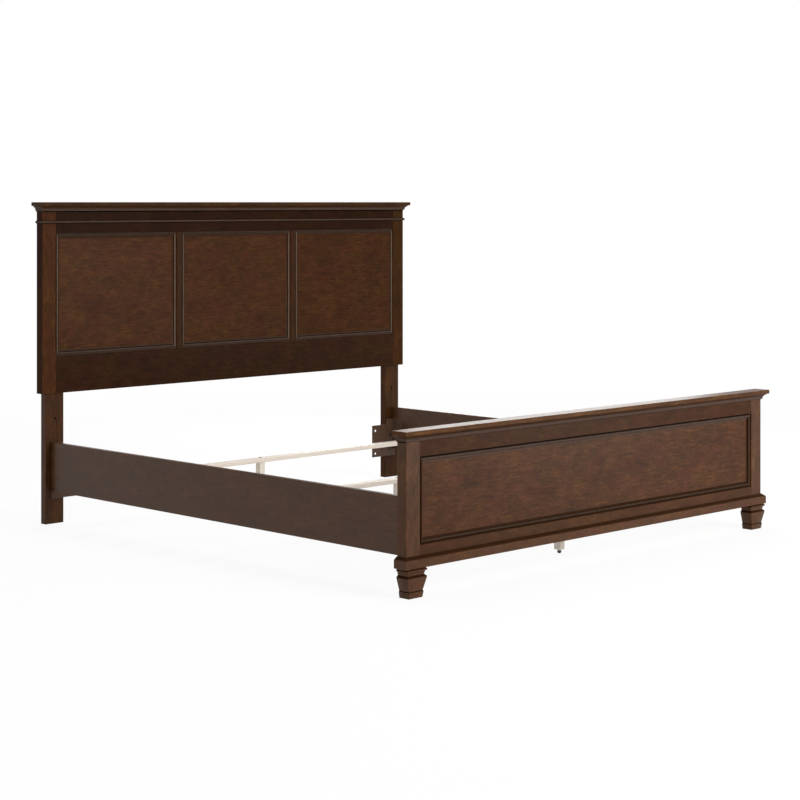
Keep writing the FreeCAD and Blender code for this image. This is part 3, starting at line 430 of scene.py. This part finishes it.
def makePiece(name, points, faces, materials, faceMaterial, smoothDegrees):
    mesh = bpy.data.meshes.new(name)
    mesh.from_pydata([tuple(p) for p in points], [], [tuple(f) for f in faces])
    for material in materials:
        mesh.materials.append(material)
    mesh.polygons.foreach_set("material_index", np.asarray(faceMaterial, np.int32))
    solid = bmesh.new()
    solid.from_mesh(mesh)
    bmesh.ops.recalc_face_normals(solid, faces=solid.faces)
    solid.to_mesh(mesh)
    solid.free()
    mesh.polygons.foreach_set("use_smooth", np.ones(len(mesh.polygons), bool))
    mesh.set_sharp_from_angle(angle=math.radians(smoothDegrees))
    piece = bpy.data.objects.new(name, mesh)
    bpy.context.scene.collection.objects.link(piece)
    return piece


def fitPiece(piece, body, slotName, *replaced):
    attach(piece, body)
    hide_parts(*replaced)


def arcPoints(centre, radius, startDegrees, endDegrees, steps):
    # points of a circle: centre + radius * (cos, sin) of angles from start to end
    angle = np.radians(np.linspace(startDegrees, endDegrees, steps))
    return np.column_stack([centre[0] + radius * np.cos(angle),
                            centre[1] + radius * np.sin(angle)])


def arcBetween(start, end, radius, turn, steps):
    # the short arc from start to end, turn 1 anticlockwise and -1 clockwise: its centre is half
    # way along the chord, then square to it by sqrt(radius^2 - half chord^2)
    start, end = np.asarray(start, float), np.asarray(end, float)
    chord = end - start
    half = np.linalg.norm(chord) / 2
    square = np.array([-chord[1], chord[0]]) / (2 * half) * turn
    centre = (start + end) / 2 + square * math.sqrt(radius ** 2 - half ** 2)
    first, last = (math.degrees(math.atan2(*(p - centre)[::-1])) for p in (start, end))
    while (last - first) * turn < 0:
        last += 360 * turn
    return arcPoints(centre, radius, first, last, steps)


def endCaps(rows, around):
    # the first and the last ring, each as one face
    return [list(range(around)), [(rows - 1) * around + k for k in range(around)]]


def stackedRings(grid):
    # closed rings of points, one above another, joined by quads and capped at both ends
    rows, around = grid.shape[:2]
    j, i = np.meshgrid(np.arange(rows - 1), np.arange(around), indexing="ij")
    nextI = (i + 1) % around
    quads = np.stack([j * around + i, j * around + nextI, (j + 1) * around + nextI,
                      (j + 1) * around + i], axis=-1)
    return grid.reshape(-1, 3), quads.reshape(-1, 4).tolist() + endCaps(rows, around)


def carryProfile(profile, corners, mitres, rise, closed):
    # A closed outline (out, up) carried along a path of mitred corners:
    # point[j, i] = corner[j] + out[i] * mitre[j] + up[i] * rise
    corners = np.asarray(corners, float)
    mitres = np.asarray(mitres, float)
    grid = (corners[:, None, :] + profile[None, :, :1] * mitres[:, None, :]
            + profile[None, :, 1:] * np.asarray(rise, float)[None, None, :])
    count, around = grid.shape[:2]
    runs = count if closed else count - 1
    j, i = np.meshgrid(np.arange(runs), np.arange(around), indexing="ij")
    nextJ, nextI = (j + 1) % count, (i + 1) % around
    quads = np.stack([j * around + i, nextJ * around + i, nextJ * around + nextI,
                      j * around + nextI], axis=-1).reshape(-1, 4)
    faces = quads.tolist()
    strips = np.repeat(np.arange(runs), around).tolist()
    if not closed:
        faces += endCaps(count, around)
        strips += [0, runs - 1]
    return grid.reshape(-1, 3), faces, strips


smoothBelow = {"run": 30, "foot": 28, "glide": 40}   # degrees between faces
print("surface tools ready")


# panel mouldings: quirk against the frame, round bead, second quirk, slope to the panel

panelMould = {
    "width": 23 * mm,
    "floor": 1.6 * mm,         # the quirk's bottom above the panel
    "quirk": 6.0 * mm,
    "bead": 4.4 * mm,          # radius
    "beadLift": 2.6 * mm,      # bead centre above the panel
    "beadSteps": 17,
    "flankSteps": 3,          # steps of the bead's flanks
    "outerGap": 0.2 * mm,      # quirk's end to the bead's foot, on each side of it
    "innerGap": 0.1 * mm,
    "innerQuirk": 2.2 * mm,
    "slopeTop": 2.9 * mm,
    "slopeLean": 0.3 * mm,
    "lip": 0.7 * mm,
    # finish of the outer quirk, outer flank, bead, inner quirk and slope, on the bottom, right, top
    # and left runs. These are painted light and shade: a surface is made near-black, brown, half
    # shaded or pale from run to run, by how light falls on that run.
    "headboard": (("rubbed", "rubbed", "rubbed", "quirk", "dim"),
                  ("rubbed", "quirk", "rubbed", "quirk", "mould"),
                  ("rubbed", "dim", "dim", "dim", "mould"),
                  ("quirk", "quirk", "rubbed", "quirk", "mould")),
    "footboard": (("slope", "slope", "dim", "slope", "slope"),
                  ("rubbed", "quirk", "dim", "slope", "slope"),
                  ("quirk", "slope", "rubbed", "rubbed", "rubbed"),
                  ("quirk", "quirk", "slope", "rubbed", "mould")),
}


def panelMouldProfile():
    # an outline (in from the frame, out from the panel), and for each of its sides the place of
    # its finish in a run's list
    s = panelMould
    crown = arcPoints((s["quirk"] + s["bead"], s["beadLift"]), s["bead"], 180, 0, s["beadSteps"])
    inner = s["quirk"] + 2 * s["bead"]
    slope = inner + s["innerQuirk"]
    points = np.vstack([
        [(0, 0)], [(0, s["floor"])], [(s["quirk"] - s["outerGap"], s["floor"])], crown,
        [(inner + s["innerGap"], s["floor"])], [(slope, s["floor"])],
        [(slope + s["slopeLean"], s["slopeTop"])],
        [(s["width"], s["lip"])], [(s["width"], 0)],
    ])
    crownSides = s["beadSteps"] - 1 - 2 * s["flankSteps"]
    sides = ([0] * 3 + [1] * s["flankSteps"] + [2] * crownSides
             + [3] * (s["flankSteps"] + 2) + [4] * 4)
    return points, sides


def panelMoulding(name):
    low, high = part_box(name)
    back = high.y
    corners = [(low.x, back, low.z), (high.x, back, low.z), (high.x, back, high.z),
               (low.x, back, high.z)]
    mitres = [(1, 0, 1), (-1, 0, 1), (-1, 0, -1), (1, 0, -1)]
    profile, sides = panelMouldProfile()
    points, faces, strips = carryProfile(profile, corners, mitres, (0, -1, 0), True)
    used = [kind + axis for kind in ("mould", "quirk", "dim", "rubbed", "slope") for axis in "XZ"]
    runFinishes = panelMould[name.split("_")[0]]
    pick = [used.index(runFinishes[strip][sides[k % len(sides)]] + "XZ"[strip % 2])
            for k, strip in enumerate(strips)]
    piece = makePiece(name + "_run", points, faces, [finishes[key] for key in used], pick,
                      smoothBelow["run"])
    fitPiece(piece, "bed", "brown_moulding", name)


for name in nodes:
    if "panel_moulding" in name:
        panelMoulding(name)
print("panel mouldings run")


# crown coves, headboard bead and footboard base, wrapped round three sides

cove = {
    "tall": 25 * mm,
    "sunk": 4.2 * mm,          # lowest strip, let into the frame
    "letIn": 0.5 * mm,
    "proud": 16 * mm,
    "foot": 5 * mm,
    "nib": 0.6 * mm,
    "fillet": 4 * mm,
    "brow": 3 * mm,
    "radius": 17.5 * mm,
    "steps": 15,
    "rubbedSides": 7,
}
bead = {"radius": 6 * mm, "steps": 19, "shadedSides": 6}
base = {"proud": 15 * mm, "tall": 40 * mm, "slope": 10 * mm, "round": 1.5 * mm,
        "roundShare": 0.7, "topEdge": 0.8 * mm}


def coveProfile():
    # outline (out from the frame, up from the underside of the cap)
    s = cove
    low = s["sunk"] - s["tall"]
    hollow = arcBetween((s["foot"], low + s["fillet"]), (s["proud"], -s["brow"]), s["radius"], -1,
                        s["steps"])
    points = np.vstack([[(0, -s["tall"])], [(-s["letIn"], -s["tall"])], [(-s["letIn"], low)],
                        [(s["foot"] - s["nib"], low)], [(s["foot"], low + s["nib"])], hollow,
                        [(s["proud"], 0)], [(0, 0)]])
    # the cove's nib, fillet and lower hollow get a painted highlight; the rest is plain lacquered
    # moulding
    hidden = 3
    plain = len(points) - hidden - s["rubbedSides"]
    return points, ["mould"] * hidden + ["rubbed"] * s["rubbedSides"] + ["mould"] * plain


def beadProfile():
    points = arcPoints((0, 0), bead["radius"], -90, 90, bead["steps"])
    # the bead's flanks next to the frame get painted shade, its crown a painted highlight
    edge = ["quirk"] * bead["shadedSides"]
    return points, edge + ["rubbed"] * (len(points) - 2 * len(edge)) + edge


def baseProfile():
    s = base
    top = s["tall"] - s["slope"]
    points = np.array([(0, 0), (s["proud"] - s["round"], 0), (s["proud"], s["round"]),
                       (s["proud"], top - s["round"]),
                       (s["proud"] - s["roundShare"] * s["round"], top),
                       (s["topEdge"], s["tall"]), (0, s["tall"])])
    return points, ["mould"] * 4 + ["slope"] * 3


def wrapMoulding(name, shape, plain, proud, height):
    low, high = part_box(name)
    half = high.x - proud
    face = low.y + proud
    corners = [(-half, high.y, height), (-half, face, height), (half, face, height),
               (half, high.y, height)]
    mitres = [(-1, 0, 0), (-1, -1, 0), (1, -1, 0), (1, 0, 0)]
    profile, sides = shape
    points, faces, strips = carryProfile(profile, corners, mitres, (0, 0, 1), False)
    kinds = sides * 3 + ["mould"] * 2    # three runs and two end caps
    used = [plain + "X", plain + "Y", "quirkX", "rubbedX", "slopeX"]
    place = {"quirk": 2, "rubbed": 3, "slope": 4}
    pick = [place.get(kind, 0 if strip == 1 else 1) for kind, strip in zip(kinds, strips)]
    piece = makePiece(name + "_run", points, faces, [finishes[key] for key in used], pick,
                      smoothBelow["run"])
    fitPiece(piece, "bed", "brown_moulding", name)


# outline, finish of the plain sides, how far it stands proud, height of the outline's zero
wraps = {
    "headboard_cove_moulding": (coveProfile(), "mould", cove["proud"], 1310 * mm),
    "footboard_cove_moulding": (coveProfile(), "mould", cove["proud"], 546 * mm),
    "headboard_bead_moulding": (beadProfile(), "mould", bead["radius"], 1244 * mm),
    "footboard_base_moulding": (baseProfile(), "base", base["proud"], 100 * mm),
}
for name, wrap in wraps.items():
    wrapMoulding(name, *wrap)
print("crown and base mouldings run")


# tapered feet: shaped at the front and both sides, flat at the back

foot = {
    # (past the shoulder, height) in mm; the ankle's steps stand in by the taper
    "ankle": [(-1, 0), (2, 18), (2, 21), (0, 24)],
    "shoulder": [(0, 69), (-1, 72), (-7, 77), (-7, 80), (-5.5, 83)],
    "pad": [(0.5, 91), (0.5, 94), (-1, 97), (-4, 100)],
    "hollowRadius": 7,
    "hollowSteps": 6,
    "half": 47,                # middle to shoulder
    "deep": 54,                # flat back to shoulder
    "taperSide": 13.5,
    "taperFront": 7.5,
    "corner": 1.4,
    "cornerSteps": 4,
    "browned": ((70, 77), (95, 100)),      # heights that get the dark brown slope finish
    "line": (21, 24),          # and the near-black painted shade over the ankle's step
}


def footOutline(shoulder, taper):
    # reach of one side at each height: shoulder + step, less the taper at the ankle
    s = foot
    hollow = arcBetween(s["shoulder"][-1], s["pad"][0], s["hollowRadius"], -1, s["hollowSteps"])
    steps = np.vstack([np.array(s["ankle"]) - (taper, 0), s["shoulder"][:-1], hollow,
                       s["pad"][1:]])
    return (steps + (shoulder, 0)) * mm


def footFinish(height):
    if any(low < height < high for low, high in foot["browned"]):
        return 1
    return 2 if foot["line"][0] < height < foot["line"][1] else 0


def footPiece(name):
    s = foot
    low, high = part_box(name)
    sides = footOutline(s["half"], s["taperSide"])
    front = footOutline(s["deep"], s["taperFront"])
    r = s["corner"] * mm
    # section: corner centre + r * (cos, sin) in each quadrant, x from the middle, y from the back
    quarter = np.radians(np.linspace(0, 90, s["cornerSteps"]))
    turns = np.concatenate([quarter + math.pi / 2 * q for q in range(4)])
    signX = np.repeat([1, -1, -1, 1], s["cornerSteps"])
    atBack = np.repeat([True, True, False, False], s["cornerSteps"])
    x = (sides[:, :1] - r) * signX + r * np.cos(turns) + (low.x + high.x) / 2
    y = np.where(atBack, high.y - r, high.y - front[:, :1] + r) + r * np.sin(turns)
    z = np.repeat(sides[:, 1:], len(turns), axis=1)
    points, faces = stackedRings(np.stack([x, y, z], axis=-1))
    middles = (sides[1:, 1] + sides[:-1, 1]) / 2 / mm
    pick = np.repeat([footFinish(height) for height in middles], len(turns)).tolist() + [0, 0]
    piece = makePiece(name + "_shaped", points, faces,
                      [finishes["foot"], finishes["slopeX"], finishes["quirkX"]], pick,
                      smoothBelow["foot"])
    fitPiece(piece, "bed", "brown_frame", name)


for side in ("left", "right"):
    footPiece("footboard_foot_" + side)
print("feet shaped")


# levelling glides: round nylon base, six-sided collar and M8 stem

glide = {
    "tread": 4.5 * mm,         # radius on the floor
    "radius": 7.8 * mm,
    "slopeTop": 3.5 * mm,
    "slopeEase": 0.1 * mm,
    "ease": 0.5 * mm,
    "baseTop": 10.5 * mm,
    "topEase": 0.6 * mm,
    "collar": 5.6 * mm,        # across the flats, halved
    "collarTop": 13 * mm,
    "stem": 3.95 * mm,
    "stemTop": 50 * mm,
    "pitch": 1.25 * mm,
    "threadDeep": 0.6 * mm,
    "around": 36,
    "stepsPerTurn": 6,
}


def glidePiece(name):
    s = glide
    low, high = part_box(name)
    turn = np.linspace(0, 2 * math.pi, s["around"], endpoint=False)
    even = np.ones_like(turn)
    # collar: half across the flats over the cosine of the turn away from the nearest flat
    sixth = math.pi / 3
    sixSided = s["collar"] / np.cos((turn + sixth / 2) % sixth - sixth / 2)
    # (height, radius all round) from the floor up
    rows = [(0, s["tread"] * even),
            (s["slopeTop"], (s["radius"] - s["slopeEase"]) * even),
            (s["slopeTop"] + s["ease"], s["radius"] * even),
            (s["baseTop"] - s["topEase"], s["radius"] * even),
            (s["baseTop"], (s["radius"] - s["topEase"]) * even),
            (s["baseTop"], sixSided), (s["collarTop"], sixSided),
            (s["collarTop"], s["stem"] * even)]
    # thread: stem radius less the depth times a triangle wave of height / pitch less the turn
    steps = int((s["stemTop"] - s["collarTop"]) / s["pitch"] * s["stepsPerTurn"])
    for height in np.linspace(s["collarTop"] + s["ease"], s["stemTop"] - s["ease"], steps):
        phase = (height / s["pitch"] - turn / (2 * math.pi)) % 1
        rows.append((height, s["stem"] - s["threadDeep"] * np.abs(2 * phase - 1)))
    rows.append((s["stemTop"], (s["stem"] - s["threadDeep"]) * even))
    heights = np.array([height for height, _ in rows])[:, None] + 0 * turn
    reach = np.array([radius for _, radius in rows])
    points, faces = stackedRings(np.stack([
        reach * np.cos(turn) + (low.x + high.x) / 2,
        reach * np.sin(turn) + (low.y + high.y) / 2, heights + low.z], axis=-1))
    steel = [int(height >= s["baseTop"]) for height, _ in rows[:-1]]
    pick = np.repeat(steel, s["around"]).tolist() + [0, 1]
    piece = makePiece(name + "_turned", points, faces, [finishes["plastic"], finishes["zinc"]],
                      pick, smoothBelow["glide"])
    fitPiece(piece, name + "_screw", "black_plastic", name)


for place in ("head", "middle", "foot"):
    glidePiece("glide_" + place)
print("glides turned")


# floor, backdrop, light and camera

studio = {
    "floorHalf": 60.0,
    "floorShade": "#f6f5f3",
    "whiteNear": 0.9,          # how much of the floor the camera sees as plain white, by the bed
    "whiteReach": (2.2, 6.0),  # and from where to where it rises to all of it, in metres
    "worldLight": 0.38,
    "lamps": {
        "key": {"at": (0.9, -7.2, 3.6), "size": 3.5, "watts": 375},
        "fill": {"at": (-7.5, -1.0, 3.5), "size": 4.0, "watts": 50},
        "top": {"at": (0.5, 0.5, 6.5), "size": 5.0, "watts": 190},
        "low": {"at": (2.1, -3.3, 0.5), "size": 1.2, "watts": 20},
        "rim": {"at": (3.0, 2.2, 1.5), "size": 2.4, "watts": 55},
    },
    "aim": (0.0, -0.2, 0.5),
}


def seenRays(tree):
    # 1 for the rays that should find a white studio: the camera's, and those of gloss and glass
    rays = addNode(tree, "LightPath")
    total = rays.outputs["Is Camera Ray"]
    for kind in ("Is Glossy Ray", "Is Transmission Ray"):
        total = addNode(tree, "Math", {"operation": "MAXIMUM"},
                        {0: total, 1: rays.outputs[kind]}).outputs[0]
    return total


def plainFloor():
    half = studio["floorHalf"]
    mesh = bpy.data.meshes.new("floor")
    mesh.from_pydata([(-half, -half, 0), (half, -half, 0), (half, half, 0), (-half, half, 0)],
                     [], [(0, 1, 2, 3)])
    material, tree = newMaterial("matt white studio floor")
    place = addNode(tree, "TexCoord").outputs["Object"]
    away = addNode(tree, "VectorMath", {"operation": "LENGTH"}, {0: place}).outputs["Value"]
    near, far = studio["whiteReach"]
    share = addNode(tree, "MapRange", {"From Min": near, "From Max": far,
                                       "To Min": studio["whiteNear"], "To Max": 1.0},
                    {"Value": away})
    white = addNode(tree, "Math", {"operation": "MULTIPLY"},
                    {0: seenRays(tree), 1: share.outputs[0]})
    matt = addNode(tree, "BsdfDiffuse", {"Color": linearFromHex(studio["floorShade"])})
    plain = addNode(tree, "Emission", {"Strength": 1.0})
    both = addNode(tree, "MixShader", {}, {0: white.outputs[0], 1: matt.outputs[0],
                                           2: plain.outputs[0]})
    addNode(tree, "OutputMaterial", {}, {"Surface": both.outputs[0]})
    mesh.materials.append(material)
    floor = bpy.data.objects.new("floor", mesh)
    bpy.context.scene.collection.objects.link(floor)


def whiteSurround():
    world = bpy.data.worlds.new("white studio")
    world.use_nodes = True
    tree = world.node_tree
    tree.nodes.clear()
    strength = addNode(tree, "MapRange", {"To Min": studio["worldLight"], "To Max": 1.0},
                       {"Value": seenRays(tree)})
    shade = addNode(tree, "Background", {"Color": (1, 1, 1, 1)}, {"Strength": strength.outputs[0]})
    addNode(tree, "OutputWorld", {}, {"Surface": shade.outputs[0]})
    bpy.context.scene.world = world


def softbox(name):
    s = studio["lamps"][name]
    lamp = bpy.data.lights.new(name, "AREA")
    lamp.size = s["size"]
    lamp.energy = s["watts"]
    lampObject = bpy.data.objects.new(name, lamp)
    lampObject.location = s["at"]
    aim = Vector(studio["aim"]) - Vector(s["at"])
    lampObject.rotation_euler = aim.to_track_quat("-Z", "Y").to_euler()
    lampObject.visible_camera = False
    bpy.context.scene.collection.objects.link(lampObject)


photoCamera = {
    "at": (-5.5562, -5.6395, 1.3270),
    "headingDegrees": 45.45,   # level view, from +X towards +Y
    "focalPixels": 1933.66,
    "imagePixels": 800,
    "horizonRow": 201.91,
    "sensor": 36.0,
}


def placeCamera():
    s = photoCamera
    data = bpy.data.cameras.new("photo camera")
    data.sensor_width = s["sensor"]
    data.lens = s["focalPixels"] / s["imagePixels"] * s["sensor"]
    data.shift_y = (s["horizonRow"] - s["imagePixels"] / 2) / s["imagePixels"]
    camera = bpy.data.objects.new("photo camera", data)
    camera.location = s["at"]
    camera.rotation_euler = (math.pi / 2, 0, math.radians(s["headingDegrees"] - 90))
    bpy.context.scene.collection.objects.link(camera)
    bpy.context.scene.camera = camera


plainFloor()
whiteSurround()
for lampName in studio["lamps"]:
    softbox(lampName)
placeCamera()
bpy.context.scene.view_settings.view_transform = "Standard"
print("studio set")
